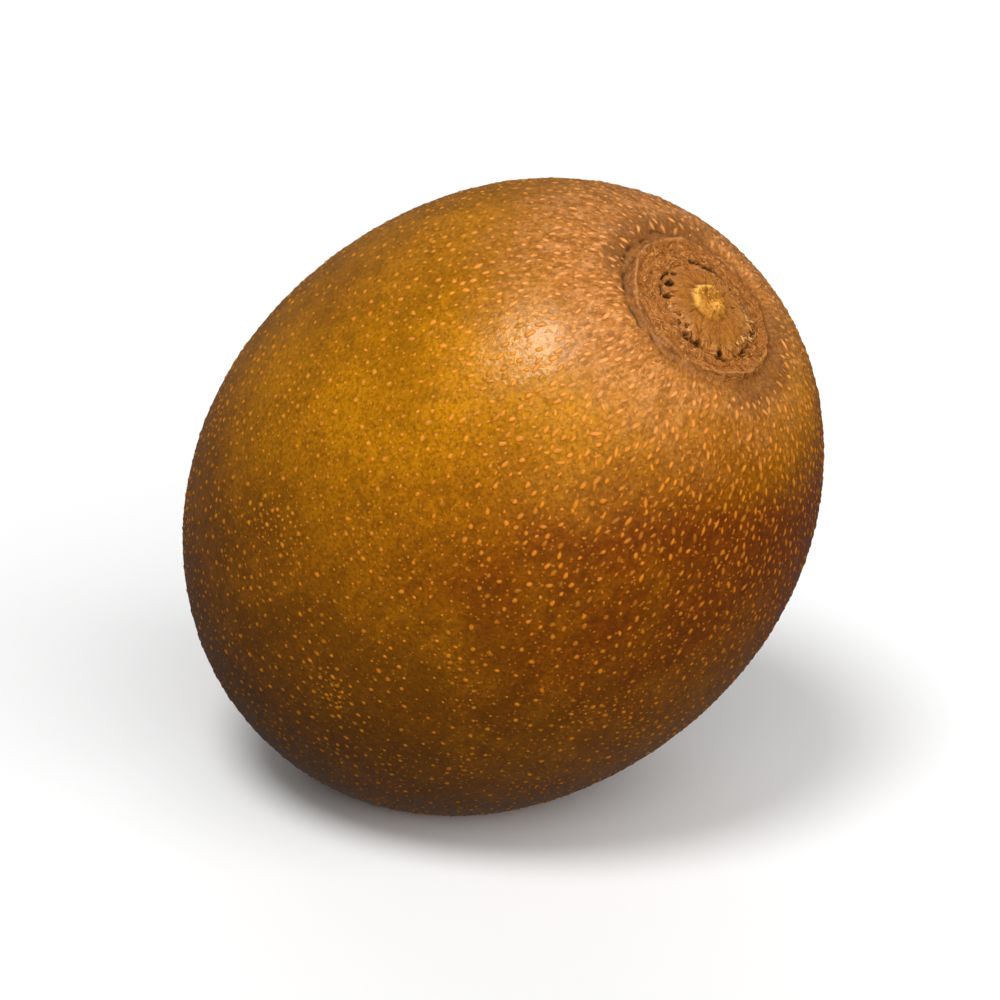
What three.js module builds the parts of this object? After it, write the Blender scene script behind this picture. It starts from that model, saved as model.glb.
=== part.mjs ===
import * as THREE from 'three';

// A whole golden kiwi fruit: one piece of skin, dried stem end and blossom end grown
// together. It rests on a small flat spot of its skin with the stem end leaning up.
// Millimetres, +Z up. The origin is on the flat spot, straight below the fruit's middle,
// and the long axis lies in the XZ plane with the stem end towards +X.

// Body
const HALF_LENGTH = 33.65;      // from the middle to each end, along the long axis
const HALF_WIDTH = 27;          // from the long axis to the skin at the widest place
const FULLNESS = 2.04;          // exponent of the outline: 2 is an ellipse, more is fuller
const AXIS_RISE = 47;           // degrees from the surface up to the long axis
const MIDDLE_HEIGHT = 28.4;     // the fruit's middle above the surface
const SPOT_ROUNDING = 0.25;     // half the height over which the flat spot turns into skin
const SWELL = 0.14;             // height of the broad, uneven swells of the skin
// Its waves: how many round the axis, how many along it, start in radians, share of the height
const SWELL_WAVES = [[2, 0, 0.7, 1], [3, -2, 0, 0.6], [1, 5, -0.27, 0.7]];
const SHOULDER_HEIGHT = 0.25;   // fuller skin round the stem end
const SHOULDER_ANGLE = 0.56;    // where that is, in radians from the stem end
const SHOULDER_SPREAD = 0.17;

// Stem end: heights stand out of the skin, radii are from the long axis
const BASIN_DEPTH = 0.9;        // the whole stem end lies in a shallow basin
const BASIN_FLOOR = 5.5;
const BASIN_EDGE = 11;
const RIDGE_HEIGHT = 0.34;      // thin raised ring round the dried calyx
const RIDGE_RADIUS = 7.35;
const RIDGE_WIDTH = 0.34;
const RIDGE_SHIFT = 0.35;       // the ring's centre lies this far up from the long axis
const GROOVE_DEPTH = 0.26;      // soft groove just outside the ring
const GROOVE_OFFSET = 1.05;
const GROOVE_WIDTH = 0.65;
const PLATE_HEIGHT = 0.42;      // dried, fibrous calyx plate
const PLATE_RADIUS = 5;
const PLATE_EDGE = 1.5;
const FIBRE_HEIGHT = 0.05;      // its radial fibres, in two sets that drift apart
const FIBRE_COUNTS = [11, 17];
const FIBRE_START = 1.6;        // they rise between these two radii
const FIBRE_FULL = 3;
const CRACK_DEPTH = 0.6;        // cracks where the plate has come away from the skin
const CRACK_RADIUS = 5.15;
const CRACK_WIDTH = 0.34;
const CRACK_OPEN = 0.6;         // full depth up to this share of a crack's half width
const CRACK_CLOSED = 1.15;      // and closed from this one on
const SCAR_HEIGHT = 0.55;       // broken end of the stalk
const SCAR_RADIUS = 1.9;
const SCAR_EDGE = 0.8;
const SCAR_DISH = 0.45;         // hollow in the upper half of the scar
const SCAR_DISH_SHIFT = 0.75;
const SCAR_DISH_RADIUS = 0.6;
// Cracks as middle and half width, in degrees round the long axis from its underside
const CRACKS = [[5, 8], [38, 7], [73, 12], [132, 18], [200, 10], [222, 8], [289, 17], [328, 8]];
const UPWARD = Math.PI;         // the upper side of the stem end, as an angle round the axis

// Blossom end
const DIMPLE_DEPTH = 1.2;
const DIMPLE_RADIUS = 4.4;
const TUFT_HEIGHT = 1.2;        // dried flower remains in the dimple
const TUFT_RADIUS = 2.4;
const TUFT_EDGE = 1.7;
const TUFT_LOBES = 5;
const TUFT_LOBE_HEIGHT = 0.15;
const TUFT_LOBE_RADIUS = 1.2;
const TUFT_LOBE_WIDTH = 0.6;

// Mesh
const SEGMENTS = 60;            // columns of faces round the long axis
const FINE_STEP = 0.0145;       // angle between rings at the two ends, in radians
const COARSE_STEP = 0.085;      // and between rings round the middle
const STEM_FINE_ANGLE = 0.33;
const BLOSSOM_FINE_ANGLE = 0.1;

const { smoothstep, degToRad } = THREE.MathUtils;

// A rounded hump of height 1 at a place, fading over a width
function hump(value, place, width) {
  return Math.exp(-(((value - place) / width) ** 2));
}

// 1 inside a radius and 0 outside, with an edge that ends at the radius
function disc(radius, edgeRadius, edgeWidth) {
  return 1 - smoothstep(radius, edgeRadius - edgeWidth, edgeRadius);
}

// Smallest angle between two directions round the axis
function turnBetween(angleA, angleB) {
  return Math.abs(Math.atan2(Math.sin(angleA - angleB), Math.cos(angleA - angleB)));
}

// How far open the crack round the calyx plate is, from 0 to 1
function crackOpening(azimuth) {
  let opening = 0;
  for (const [middle, halfWidth] of CRACKS) {
    const turn = turnBetween(azimuth, degToRad(middle)) / degToRad(halfWidth);
    opening = Math.max(opening, 1 - smoothstep(turn, CRACK_OPEN, CRACK_CLOSED));
  }
  return opening;
}

// Broken end of the stalk: a low nub with a hollow towards its upper side
function scarRelief(radius, azimuth) {
  const up = radius * Math.cos(azimuth - UPWARD) - SCAR_DISH_SHIFT;
  const across = radius * Math.sin(azimuth - UPWARD);
  const hollow = hump(Math.hypot(up, across), 0, SCAR_DISH_RADIUS);
  return SCAR_HEIGHT * disc(radius, SCAR_RADIUS, SCAR_EDGE) - SCAR_DISH * hollow;
}

// Dried calyx plate with its radial fibres, and the cracks along its edge
function plateRelief(radius, azimuth) {
  const onPlate = disc(radius, PLATE_RADIUS, PLATE_EDGE);
  const waves = FIBRE_COUNTS.reduce((sum, count) => sum + Math.sin(count * azimuth), 0);
  const fibres = FIBRE_HEIGHT * waves * smoothstep(radius, FIBRE_START, FIBRE_FULL);
  const crack = CRACK_DEPTH * crackOpening(azimuth) * hump(radius, CRACK_RADIUS, CRACK_WIDTH);
  return (PLATE_HEIGHT + fibres) * onPlate - crack;
}

// Thin ring round the calyx, with the groove outside it
function ringRelief(radius, azimuth) {
  const ridgeRadius = RIDGE_RADIUS + RIDGE_SHIFT * Math.cos(azimuth - UPWARD);
  const ridge = RIDGE_HEIGHT * hump(radius, ridgeRadius, RIDGE_WIDTH);
  return ridge - GROOVE_DEPTH * hump(radius, ridgeRadius + GROOVE_OFFSET, GROOVE_WIDTH);
}

function stemRelief(radius, azimuth) {
  const basin = BASIN_DEPTH * (1 - smoothstep(radius, BASIN_FLOOR, BASIN_EDGE));
  const ends = scarRelief(radius, azimuth) + plateRelief(radius, azimuth);
  return ends + ringRelief(radius, azimuth) - basin;
}

function blossomRelief(radius, azimuth) {
  const lobeRing = hump(radius, TUFT_LOBE_RADIUS, TUFT_LOBE_WIDTH);
  const lobes = TUFT_LOBE_HEIGHT * Math.cos(TUFT_LOBES * azimuth) * lobeRing;
  const tuft = TUFT_HEIGHT * disc(radius, TUFT_RADIUS, TUFT_EDGE) + lobes;
  return tuft - DIMPLE_DEPTH * hump(radius, 0, DIMPLE_RADIUS);
}

// Broad swells that keep the body from being a perfect solid of revolution
function swell(angle, azimuth) {
  let waves = 0;
  for (const [round, lengthwise, start, share] of SWELL_WAVES) {
    waves += share * Math.cos(round * azimuth + lengthwise * angle + start);
  }
  return SWELL * Math.sin(angle) * waves;
}

// A point of the skin in the fruit's own frame, long axis along +Z. The angle runs from
// 0 at the stem end to pi at the blossom end, the azimuth goes round the axis.
function skinPoint(angle, azimuth) {
  const power = 2 / FULLNESS;
  const cosine = Math.cos(angle);
  const along = HALF_LENGTH * Math.sign(cosine) * Math.abs(cosine) ** power;
  const radius = HALF_WIDTH * Math.abs(Math.sin(angle)) ** power;
  const relief = cosine > 0 ? stemRelief(radius, azimuth) : blossomRelief(radius, azimuth);
  const shoulder = SHOULDER_HEIGHT * hump(angle, SHOULDER_ANGLE, SHOULDER_SPREAD);
  const height = relief + shoulder + swell(angle, azimuth);
  const outwards = new THREE.Vector2(radius / HALF_WIDTH ** 2, along / HALF_LENGTH ** 2);
  outwards.normalize().multiplyScalar(height);
  const reach = radius + outwards.x;
  return new THREE.Vector3(
    reach * Math.cos(azimuth),
    reach * Math.sin(azimuth),
    along + outwards.y,
  );
}

// Angles of the rings of points: close together at both ends, wider round the middle
function ringAngles() {
  const angles = [];
  let angle = FINE_STEP;
  while (angle < Math.PI - FINE_STEP) {
    angles.push(angle);
    const fromStem = smoothstep(angle, STEM_FINE_ANGLE, 2 * STEM_FINE_ANGLE);
    const toBlossom = Math.PI - angle;
    const fromBlossom = smoothstep(toBlossom, BLOSSOM_FINE_ANGLE, 5 * BLOSSOM_FINE_ANGLE);
    angle += FINE_STEP + (COARSE_STEP - FINE_STEP) * Math.min(fromStem, fromBlossom);
  }
  return angles;
}

// Closed skin: a point at each end, rings between them, and faces that point outwards
function skinGeometry() {
  const rings = ringAngles();
  const points = [skinPoint(0, 0)];
  for (const angle of rings) {
    for (let column = 0; column < SEGMENTS; column++) {
      points.push(skinPoint(angle, (2 * Math.PI * column) / SEGMENTS));
    }
  }
  points.push(skinPoint(Math.PI, 0));

  const faces = [];
  const last = points.length - 1;
  for (let column = 0; column < SEGMENTS; column++) {
    const next = (column + 1) % SEGMENTS;
    faces.push(0, 1 + column, 1 + next);
    for (let ring = 0; ring < rings.length - 1; ring++) {
      const upper = 1 + ring * SEGMENTS;
      const lower = upper + SEGMENTS;
      faces.push(upper + column, lower + column, lower + next);
      faces.push(upper + column, lower + next, upper + next);
    }
    faces.push(last, last - SEGMENTS + next, last - SEGMENTS + column);
  }

  const geometry = new THREE.BufferGeometry().setFromPoints(points);
  geometry.setIndex(faces);
  return geometry;
}

// Height of a point once the fruit rests: flat below the surface, blended round the edge
function restedHeight(height) {
  if (height <= -SPOT_ROUNDING) return 0;
  if (height >= SPOT_ROUNDING) return height;
  return (height + SPOT_ROUNDING) ** 2 / (4 * SPOT_ROUNDING);
}

// Leans the fruit over, lifts it onto the surface and presses its flat spot
function layDown(geometry) {
  geometry.rotateY(degToRad(90 - AXIS_RISE));
  geometry.translate(0, 0, MIDDLE_HEIGHT);
  const position = geometry.getAttribute('position');
  for (let index = 0; index < position.count; index++) {
    position.setZ(index, restedHeight(position.getZ(index)));
  }
  geometry.computeVertexNormals();
  return geometry;
}

const skin = new THREE.MeshStandardMaterial({ color: 0xb07a26, roughness: 0.5, metalness: 0 });

const fruit = new THREE.Mesh(layDown(skinGeometry()), skin);
fruit.name = 'fruit';

const kiwi = new THREE.Group();
kiwi.add(fruit);

export default kiwi;
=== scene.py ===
"""A whole golden kiwi fruit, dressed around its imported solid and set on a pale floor.

The skin repeats the solid's outline and end reliefs at a finer step, and carries the small
things that grow on it: corky lenticels, the dried calyx with its fibres, the broken stalk and
the dried flower remains. Lengths are millimetres, and metres on the stage. The fruit's own
frame has its long axis along +Z, stem end up. An azimuth goes round it from the lower side.
"""

import random
from math import acos, cos, hypot, pi, radians, sin

import bpy
import numpy as np
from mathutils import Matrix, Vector, noise


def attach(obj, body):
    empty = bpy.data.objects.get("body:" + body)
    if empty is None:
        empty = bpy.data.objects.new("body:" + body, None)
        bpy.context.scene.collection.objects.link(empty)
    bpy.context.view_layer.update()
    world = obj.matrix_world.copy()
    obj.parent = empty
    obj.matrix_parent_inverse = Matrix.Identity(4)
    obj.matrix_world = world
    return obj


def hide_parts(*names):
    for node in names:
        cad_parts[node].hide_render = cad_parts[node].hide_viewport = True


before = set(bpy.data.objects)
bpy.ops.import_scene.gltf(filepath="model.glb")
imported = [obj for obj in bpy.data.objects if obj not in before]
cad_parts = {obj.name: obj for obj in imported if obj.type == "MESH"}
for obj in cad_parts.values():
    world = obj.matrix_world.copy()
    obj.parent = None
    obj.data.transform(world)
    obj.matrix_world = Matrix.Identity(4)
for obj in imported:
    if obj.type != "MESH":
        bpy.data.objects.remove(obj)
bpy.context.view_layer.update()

MM = 0.001

# Body, as in the solid
HALF_LENGTH = 33.65
HALF_WIDTH = 27
FULLNESS = 2.04
AXIS_RISE = radians(47)
MIDDLE_HEIGHT = 28.4
SPOT_ROUNDING = 0.25
SWELL = 0.14
SWELL_WAVES = [(2, 0, 0.7, 1), (3, -2, 0, 0.6), (1, 5, -0.27, 0.7)]
SHOULDER_HEIGHT = 0.25
SHOULDER_ANGLE = 0.56
SHOULDER_SPREAD = 0.17

# Stem end, as in the solid
BASIN_DEPTH = 0.9
BASIN_FLOOR = 5.5
BASIN_EDGE = 11
RIDGE_HEIGHT = 0.34
RIDGE_RADIUS = 7.35
RIDGE_WIDTH = 0.34
RIDGE_SHIFT = 0.35
GROOVE_DEPTH = 0.26
GROOVE_OFFSET = 1.05
GROOVE_WIDTH = 0.65
PLATE_HEIGHT = 0.42
PLATE_RADIUS = 5
PLATE_EDGE = 1.5
CRACK_DEPTH = 0.6
CRACK_RADIUS = 5.15
CRACK_OPEN = 0.6
CRACK_CLOSED = 1.15
SCAR_HEIGHT = 0.55
SCAR_RADIUS = 1.9
SCAR_EDGE = 0.8
SCAR_DISH = 0.45
SCAR_DISH_RADIUS = 0.6
CRACKS = [(5, 8), (38, 7), (73, 12), (132, 18), (200, 10), (222, 8), (289, 17), (328, 8)]
UPWARD = pi

# Blossom end, as in the solid
DIMPLE_DEPTH = 1.2
DIMPLE_RADIUS = 4.4
TUFT_HEIGHT = 1.2
TUFT_RADIUS = 2.4
TUFT_EDGE = 1.7

# Noise round an end's axis: a third of its features there, change per millimetre outwards,
# height, seed
WOBBLE = (1.6, 0.15, 1, 3.1)
RAGGED = (5.0, 0.3, 1, 8.3)
TEETH = (13.0, 0.25, 1, 5.2)
TORN_EDGE = (7.0, 0.9, 1, 4.9)
FIBRES = (9.0, 0.35, 0.06, 1.9)
FINE_FIBRES = (17.0, 0.6, 0.036, 0.0)
WRINKLES = (2.2, 2.6, 0.11, 6.4)
SCALES = (12.0, 1.5, 0.09, 2.2)
FURROWS = (15.0, 0.3, 0.07, 4.4)
BLOSSOM_RAGGED = (4.0, 0.5, 1, 7.7)
BLOSSOM_ROUGH = (5.0, 2.0, 0.3, 2.9)
BLOSSOM_FURROWS = (9.0, 0.3, 0.06, 9.4)

# Noise through the body: feature size, height, seed
PITS = (2.4, 0.035, 1.3)  # leathery unevenness of the skin
GRAIN = (1.0, 0.016, 2.6)
DRY_BARK = (0.62, 1, 3.7)  # broken surface of the stem end
FINE_BARK = (0.62 / 2.2, 0.5, 7.9)
STEM_PATCHES = (1.7, 1, 10.3)
SPLINTERS = (0.34, 0.2, 5.7)

# Calyx plate and the cracks round it. A band is its radius, or its distance from the ring,
# and its width
FIBRE_RISE = (1.5, 2.6)  # radii where the fibres begin and are full
FLAP_HEIGHT = 0.22  # torn edge of the plate
FLAP_BAND = (PLATE_RADIUS - 0.55, 0.4)
CRACK_LIP = 0.09  # half width of a closed crack, and how much it opens
CRACK_GAPE = 0.22
CRACK_WANDER = 0.22
# torn notches beside the plate: azimuth in degrees, radius and half width
NOTCHES = [
    (189, 4.55, 0.3), (211, 4.5, 0.42), (231, 4.75, 0.3),
    (327, 5.0, 0.34), (43, 5.5, 0.3), (91, 6.1, 0.24),
]
NOTCH_DEPTH = 0.5
SLIT_AZIMUTH = radians(134)  # one long straight split
SLIT_RADIUS = 5.3
SLIT_REACH = 1.7
SLIT_WIDTH = 0.26
FAR_EDGE = (134, 0.8, 0.95)  # the plate's edge lies lower by the slit
FAR_EDGE_RADII = (3.6, 4.6)

# Broken stalk: shifts are towards the upper side, and round from it
SCAR_SHIFT = (0.4, 0.25)
DISH_SHIFT = (1.05, -0.05)
NUB_SHIFT = (-0.45, 0.5)
NUB_RADIUS = 0.5
NUB_HEIGHT = 0.32
SCAR_RIM_BAND = (1.62, 0.24)  # pale crescent on the upper side of the scar
SCAR_RIM_HEIGHT = 0.26
SCAR_RIM_FADE = 1.5
# The dark line round the scar is painted shade at its foot.
SCAR_FOOT_BAND = (SCAR_RADIUS + 0.25, 0.2)  # dark line round the scar

# Band between plate and ring, the ring, and what lies outside it
BAND_START = (PLATE_RADIUS - 0.4, PLATE_RADIUS + 0.3)
BAND_END = (-0.3, 0.5)  # from the ring outwards
BAND_SPILL = 0.8  # further on the crease's side
BARK_HEIGHT = 0.12
BARK_END = (8.5, 11)
PATCH_HEIGHT = 0.1
PATCH_END = (8, 10)
RIDGE_WOBBLE = 0.22
RIDGE_RAGGED = 0.16
CREST_HEIGHT = 0.1  # thin sharp crest of the ring, highest on two sides
CREST_WIDTH = 0.12
CREST_SIDES = (radians(171), radians(338))
# The crease's dark line is painted shade, darkest where the crease is deepest.
CREASE_DEPTH = 0.15  # dark line outside the ring, deepest on one side
CREASE_OFFSET = 0.95
CREASE_WIDTH = 0.15
CREASE_AZIMUTH = radians(215)
FURROW_START = (0.2, 1.4)  # from the ring outwards
FURROW_END = (9, 17)  # radii
SKIN_START = (7.5, 9.5)  # radii where leathery skin begins
STEM_REACH = 18  # the ends' reliefs stay inside these radii
BLOSSOM_REACH = 14
BLOSSOM_FURROW_BAND = (3.5, 2.5)

# Colour zones. A side is its azimuth in degrees and the cosines of its edge and full part
PALE_RAYS = (72, 0.3, 1)  # paler rays of the plate
PALE_RAYS_BAND = (3.6, 1.0)
# Right outside the ring the colour is partly dark russet skin and partly painted shade in the groove; the
# smudges further out are the same.
SHADE_BAND = (0.75, 0.8)  # dark russet right outside the ring, thinner on one side
SHADE_THIN_SIDE = radians(310)
SMUDGES = [(175, 0.5, 0.85), (20, 0.5, 0.85)]  # and a little further out on two sides
SMUDGE_BAND = (2.2, 1.2)
VEIL_CLOUDS = (6, 2.5, 4.8)  # russet veil over both ends, by distances along the skin
VEIL_SPECKLE = (1.8, 1.5, 9.1)
VEIL_AT_STEM = (9, 21)
VEIL_AT_BLOSSOM = (3, 16)
VEIL_UPWARD = 4.5
VEIL_BLOSSOM_SHARE = 0.7
VEIL_BLOSSOM_UNEVEN = 0.7
# The brown side is partly redder skin and partly painted shade: it darkens the skin the more the skin
# faces down.
BROWN_START = 0.545  # how far up the skin still faces where its brown side begins
BROWN_REACH = 0.46
BROWN_CLOUDS = (9, 0.12, 6.1)
BROWN_SPECKLE = (3, 0.06, 1.7)
BROWNER_SIDE = (315, 0.75, 0.95)  # the brown begins higher here
BROWNER_BY = 0.065
GOLDER_SIDE = (10, 0.8, 0.97)  # and lower here, near the stem end, and right beside the ring
GOLDER_BY = 0.08
GOLDER_ANGLES = (0.45, 0.9)
RING_ANGLES = (0.26, 0.44)
BROWN_FADE_ANGLES = (0.9, 1.6)
BROWN_FADE = 0.58
# Deeper gold is partly the skin's own colour and partly painted shade on the upper side and towards the
# blossom end.
DEEP_CLOUDS = (8, 0.5, 3.3)  # deeper gold above and towards the blossom end
DEEP_AZIMUTH = radians(185)
DEEP_EDGE = (0.1, 1.1)
DEEP_ABOVE = 0.7
DEEP_ANGLES = (1.0, 1.9)
DEEP_TILT = 0.3

# Skin mesh
SEGMENTS = 320
STEM_STEP = 0.0034
BODY_STEP = 0.0158
BLOSSOM_STEP = 0.006
STEM_FINE_ANGLE = 0.32
BLOSSOM_FINE_ANGLE = 0.09


# ---- shape of the fruit

def smoothstep(value, low, high):
    part = np.clip((value - low) / (high - low), 0, 1)
    return part * part * (3 - 2 * part)


def hump(value, place, width):
    return np.exp(-(((value - place) / width) ** 2))


def disc(radius, edge_radius, edge_width):
    return 1 - smoothstep(radius, edge_radius - edge_width, edge_radius)


def on_side(azimuth, side):
    """1 on one side of the fruit, fading to 0 round from it."""
    degrees, edge, full = side
    return smoothstep(np.cos(azimuth - radians(degrees)), edge, full)


def torn_up(values, middle, contrast, least=0, most=1):
    """Noise made into a share: its middle, how hard it tears, and its limits."""
    return np.clip(middle + contrast * values, least, most)


def field(x, y, z, seed):
    """Smooth noise from -1 to 1 at each point."""
    flat = zip(np.ravel(x), np.ravel(y), np.ravel(z))
    values = [noise.noise(Vector((a + seed, b - seed, c + 2 * seed))) for a, b, c in flat]
    return np.array(values).reshape(np.shape(x))


def clouds(place, pattern):
    """Noise through the body, as high as its pattern says."""
    size, height, seed = pattern
    x, y, z = place
    return height * field(x / size, y / size, z / size, seed)


def round_field(azimuth, radius, pattern):
    """Noise that closes on itself round the axis, as high as its pattern says."""
    count, pitch, height, seed = pattern
    return height * field(count * np.cos(azimuth), count * np.sin(azimuth), radius * pitch, seed)


def crack_opening(azimuth):
    """How far open the crack round the calyx plate is, from 0 to 1."""
    opening = np.zeros_like(azimuth)
    for middle, half_width in CRACKS:
        away = azimuth - radians(middle)
        turn = np.abs(np.arctan2(np.sin(away), np.cos(away))) / radians(half_width)
        opening = np.maximum(opening, 1 - smoothstep(turn, CRACK_OPEN, CRACK_CLOSED))
    return opening


def tears(x, y, ragged):
    """The notches beside the plate and the long slit, 1 in their middle."""
    deepest = np.zeros_like(x)
    for degrees, away, half_width in NOTCHES:
        turn = radians(degrees)
        distance = np.hypot(x - away * cos(turn), y - away * sin(turn)) * (1 + 0.5 * ragged)
        deepest = np.maximum(deepest, 1 - smoothstep(distance / half_width, 0.55, 1.15))
    across = x * cos(SLIT_AZIMUTH) + y * sin(SLIT_AZIMUTH) - SLIT_RADIUS + 0.06 * ragged
    run = y * cos(SLIT_AZIMUTH) - x * sin(SLIT_AZIMUTH)
    slit = 1 - smoothstep(np.abs(across) / SLIT_WIDTH, 0.5, 1.2)
    return np.maximum(deepest, slit * (1 - smoothstep(np.abs(run), 0.8 * SLIT_REACH, SLIT_REACH)))


class StemPlaces:
    """Places on the stem end, with the noises that its parts share."""

    def __init__(self, radius, azimuth):
        self.radius = radius
        self.azimuth = azimuth
        self.flat = (radius * np.cos(azimuth), radius * np.sin(azimuth), np.zeros_like(radius))
        self.up = radius * np.cos(azimuth - UPWARD)
        self.across = radius * np.sin(azimuth - UPWARD)
        self.wobble = self.round_noise(WOBBLE)
        self.ragged = self.round_noise(RAGGED)
        self.teeth = self.round_noise(TEETH)
        self.patchy = clouds(self.flat, STEM_PATCHES)
        self.bark = clouds(self.flat, DRY_BARK) + clouds(self.flat, FINE_BARK)
        self.plate_edge = radius + 0.4 * self.ragged + 0.3 * self.wobble
        ridge_radius = RIDGE_RADIUS + RIDGE_SHIFT * np.cos(azimuth - UPWARD)
        ridge_radius = ridge_radius + RIDGE_WOBBLE * self.wobble + RIDGE_RAGGED * self.ragged
        self.off_ridge = radius - ridge_radius

    def round_noise(self, pattern):
        return round_field(self.azimuth, self.radius, pattern)

    def from_shift(self, shift):
        """Distance from a point given towards the upper side and round from it."""
        return np.hypot(self.up - shift[0], self.across - shift[1])


def scar_relief(at):
    """The broken stalk: its height, its colour zones, and painted shade in its dish and in a line round
    its foot.
    """
    from_scar = at.from_shift(SCAR_SHIFT) + 0.28 * at.ragged
    hollow = hump(at.from_shift(DISH_SHIFT), 0, SCAR_DISH_RADIUS)
    nub = hump(at.from_shift(NUB_SHIFT) + 0.15 * at.ragged, 0, NUB_RADIUS)
    upper_half = np.clip(0.45 + (at.up - SCAR_SHIFT[0]) / SCAR_RIM_FADE, 0.1, 1)
    rim = hump(from_scar, *SCAR_RIM_BAND) * upper_half
    foot_shade = hump(from_scar, *SCAR_FOOT_BAND)

    height = SCAR_HEIGHT + clouds(at.flat, SPLINTERS)
    height = height * disc(from_scar, SCAR_RADIUS, SCAR_EDGE) - SCAR_DISH * hollow
    height = height + SCAR_RIM_HEIGHT * rim + NUB_HEIGHT * nub
    zones = {
        "scar": disc(from_scar, SCAR_RADIUS + 0.15, 0.4),
        "pale": np.clip(1.3 * rim + 1.2 * nub, 0, 1),
    }
    return height, zones, 0.55 * hollow + 0.5 * foot_shade * torn_up(at.ragged, 0.5, 1.5)


def plate_relief(at):
    """The dried calyx plate: its height, its colour zone, and painted shade in the cracks, notches and
    slit beside it.
    """
    radius, azimuth, ragged, edge = at.radius, at.azimuth, at.ragged, at.plate_edge
    plate = disc(edge, PLATE_RADIUS, PLATE_EDGE)
    fibres = (at.round_noise(FIBRES) + at.round_noise(FINE_FIBRES)) * smoothstep(radius, *FIBRE_RISE)
    flap = torn_up(at.round_noise(TORN_EDGE), 0.2, 1.6)
    flap_height = FLAP_HEIGHT * flap * hump(edge, *FLAP_BAND)

    opening = crack_opening(azimuth + 0.06 * ragged)
    gape = CRACK_LIP + CRACK_GAPE * opening * torn_up(at.teeth, 0.7, 1.3, most=1.3)
    off_line = np.abs(edge - CRACK_RADIUS + CRACK_WANDER * at.teeth)
    crack = 1 - smoothstep(off_line / gape, 0.5, 1.25)
    crack = crack * np.clip(0.5 * (ragged + 0.35) + opening, 0, 1)

    split = tears(*at.flat[:2], ragged)
    far_edge = on_side(azimuth, FAR_EDGE) * smoothstep(radius, *FAR_EDGE_RADII)
    height = plate * (PLATE_HEIGHT + fibres) + flap_height - CRACK_DEPTH * crack
    height = height * (1 - 0.7 * split) * (1 - 0.75 * far_edge) - NOTCH_DEPTH * split
    # Painted shade reaches past the cut, so that a tear's far wall is dark.
    return height, {"plate": plate}, np.maximum(crack, np.clip(2.5 * split, 0, 1))


def ring_relief(at):
    """The band round the plate, the ring and the skin outside it, with zones, and the crease that carries
    painted shade.
    """
    radius, azimuth, off_ridge = at.radius, at.azimuth, at.off_ridge
    patchy, ragged, teeth = at.patchy, at.ragged, at.teeth
    ridge = hump(off_ridge, 0, RIDGE_WIDTH) * torn_up(patchy, 0.75, 0.9, 0.15, 1.3)
    crest_sides = np.maximum(*(np.cos(azimuth - side) for side in CREST_SIDES))
    crest = hump(off_ridge, 0, CREST_WIDTH) * np.clip(0.2 + 0.7 * crest_sides + 1.1 * patchy, 0, 1.2)
    one_side = (0.5 + 0.5 * np.cos(azimuth - CREASE_AZIMUTH)) ** 1.5
    crease_offset = CREASE_OFFSET + 0.35 * ragged + 0.2 * teeth + 0.3 * patchy
    crease = hump(off_ridge, crease_offset, CREASE_WIDTH) * one_side
    crease = crease * torn_up(teeth, 0.6, 1.8, most=1.2)

    band = smoothstep(at.plate_edge, *BAND_START)
    band = band * (1 - smoothstep(off_ridge - BAND_SPILL * one_side, *BAND_END))
    crust = band * (at.round_noise(WRINKLES) + at.round_noise(SCALES))
    furrows = at.round_noise(FURROWS) * smoothstep(off_ridge, *FURROW_START)
    furrows = furrows * (1 - smoothstep(radius, *FURROW_END))

    height = RIDGE_HEIGHT * ridge + CREST_HEIGHT * crest - CREASE_DEPTH * crease
    height = height - GROOVE_DEPTH * hump(off_ridge, GROOVE_OFFSET, GROOVE_WIDTH) + crust + furrows
    height = height + PATCH_HEIGHT * patchy * (1 - smoothstep(radius, *PATCH_END))
    height = height + BARK_HEIGHT * at.bark * (1 - smoothstep(radius, *BARK_END))
    zones = {"annulus": band, "ridge": crest, "groove_russet_and_shade": dark_russet_and_groove_shade(at)}
    return height, zones, crease


def dark_russet_and_groove_shade(at):
    """Dark russet right outside the ring, with two smudges further out: partly the skin's own colour,
    partly painted shade in the groove round the ring.
    """
    thinner = np.clip(np.cos(at.azimuth - SHADE_THIN_SIDE), 0, 1)
    shade = hump(at.off_ridge, *SHADE_BAND) * (1.05 - 0.45 * thinner + 0.3 * at.patchy)
    smudge = np.maximum(*(on_side(at.azimuth, side) for side in SMUDGES))
    smudge = smudge * hump(at.off_ridge, *SMUDGE_BAND) * torn_up(at.patchy, 1.05, 0.6)
    return np.clip(shade + smudge, 0, 1)


def stem_relief(radius, azimuth):
    """Relief of the stem end, and the zones that its colours follow."""
    at = StemPlaces(radius, azimuth)
    scar_height, scar_zones, hollow_shade = scar_relief(at)
    plate_height, plate_zones, cracks = plate_relief(at)
    ring_height, ring_zones, crease = ring_relief(at)
    zones = {**scar_zones, **plate_zones, **ring_zones}

    pale_rays = on_side(azimuth, PALE_RAYS) * hump(radius, *PALE_RAYS_BAND)
    zones["ridge"] = np.clip(zones["ridge"] + 0.6 * zones["plate"] * pale_rays, 0, 1)
    # Painted shade in the bark's low pits, the cracks, the crease and the hollows, all in the crack zone.
    pit_shade = 0.5 * np.clip(-at.bark, 0, 1) * zones["annulus"]
    zones["crack"] = np.clip(np.maximum(cracks, 0.8 * crease) + pit_shade + hollow_shade, 0, 1)
    basin = BASIN_DEPTH * (1 - smoothstep(radius, BASIN_FLOOR, BASIN_EDGE))
    return scar_height + plate_height + ring_height - basin, zones


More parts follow.
